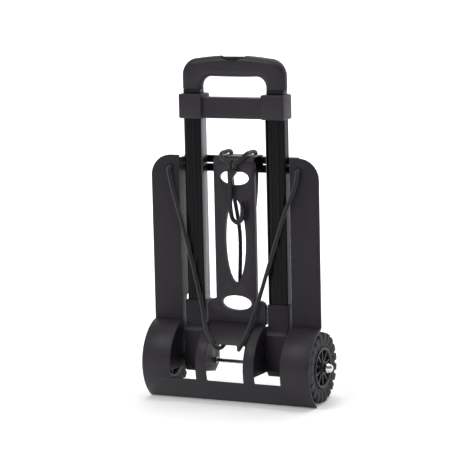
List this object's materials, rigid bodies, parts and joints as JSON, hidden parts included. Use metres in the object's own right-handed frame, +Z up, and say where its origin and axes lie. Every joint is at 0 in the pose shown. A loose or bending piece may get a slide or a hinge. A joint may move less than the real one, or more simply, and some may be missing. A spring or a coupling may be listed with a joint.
{
  "type": "folding platform cart",
  "caption": "Folding two-wheeled hand cart with a telescoping twin-tube mast, a fold-down platform that also guards the wheels, and bungee cords",
  "frame": {"origin": "centre of the bounding box on the floor, under the folded cart", "axes": "+Z up along the masts, +X to the right across the cart as the user sees it, +Y away from the user, the way the platform swings down"},
  "size_m": [0.2886, 0.1145, 0.5018],
  "materials": {
    "steel": "turned bright steel",
    "chrome": "polished chrome",
    "black_plastic": "moulded satin black plastic",
    "tyre_rubber": "moulded matt rubber",
    "black_tube": "glossy black coated tube",
    "grey_aluminium": "satin grey anodised",
    "deck_plastic": "embossed satin black plastic",
    "cord_fabric": "woven black cord sleeve"
  },
  "bodies": {
    "chassis": {"axle": "steel", "axle_nut_left": "chrome", "axle_nut_right": "chrome", "axle_spacer_left": "black_plastic", "axle_spacer_right": "black_plastic", "foot_bracket_left": "black_plastic", "foot_bracket_right": "black_plastic", "mast_outer_left": "black_tube", "mast_outer_right": "black_tube", "mast_strip_left": "grey_aluminium", "mast_strip_right": "grey_aluminium", "mast_crossbar": "black_plastic"},
    "wheel_left": {"tyre_left": "tyre_rubber", "wheel_rim_left": "black_plastic", "wheel_bush_left": "steel"},
    "wheel_right": {"tyre_right": "tyre_rubber", "wheel_rim_right": "black_plastic", "wheel_bush_right": "steel"},
    "middle_stage": {"mast_middle_left": "black_tube", "mast_middle_right": "black_tube", "middle_collar_left": "black_plastic", "middle_collar_right": "black_plastic"},
    "handle": {"mast_inner_left": "black_tube", "mast_inner_right": "black_tube", "inner_collar_left": "black_plastic", "inner_collar_right": "black_plastic", "handle_grip": "black_plastic"},
    "button": {"handle_button": "black_plastic"},
    "platform": {"wheel_guard": "deck_plastic", "wing_left": "deck_plastic", "wing_right": "deck_plastic", "centre_strip": "deck_plastic", "strip_hood": "deck_plastic", "platform_rail_upper": "black_tube", "platform_rail_lower": "black_tube", "hinge_arm_left": "black_tube", "hinge_arm_right": "black_tube", "hinge_web_left": "black_tube", "hinge_web_right": "black_tube", "hinge_bush_left": "steel", "hinge_bush_right": "steel", "web_bush_left": "steel", "web_bush_right": "steel", "eyelet_left": "black_plastic", "eyelet_right": "black_plastic", "bungee_left": "cord_fabric", "bungee_right": "cord_fabric", "bungee_back_left": "cord_fabric", "bungee_back_right": "cord_fabric", "bungee_knot_left": "cord_fabric", "bungee_knot_right": "cord_fabric", "hook_finger": "black_plastic", "hook_head": "black_plastic"}
  },
  "joints": [
    {"name": "platform_fold", "type": "hinge", "parent": "chassis", "child": "platform", "pos_m": [0, 0.00525, 0.052], "axis": [-1, 0, 0], "range_deg": [0, 90], "deforming": ["bungee_left", "bungee_right", "bungee_back_left", "bungee_back_right", "bungee_knot_left", "bungee_knot_right", "hook_finger", "hook_head"]},
    {"name": "wheel_left_spin", "type": "hinge", "parent": "chassis", "child": "wheel_left", "pos_m": [0, 0.00525, 0.052], "axis": [1, 0, 0], "continuous": true},
    {"name": "wheel_right_spin", "type": "hinge", "parent": "chassis", "child": "wheel_right", "pos_m": [0, 0.00525, 0.052], "axis": [1, 0, 0], "continuous": true},
    {"name": "middle_slide", "type": "slide", "parent": "chassis", "child": "middle_stage", "axis": [0, 0, 1], "range_m": [0, 0.24]},
    {"name": "handle_slide", "type": "slide", "parent": "middle_stage", "child": "handle", "axis": [0, 0, 1], "range_m": [0, 0.24]},
    {"name": "button_press", "type": "slide", "parent": "handle", "child": "button", "axis": [0, 0, -1], "range_m": [0, 0.003], "stiffness_N_per_m": 300, "springref_m": -0.002}
  ]
}
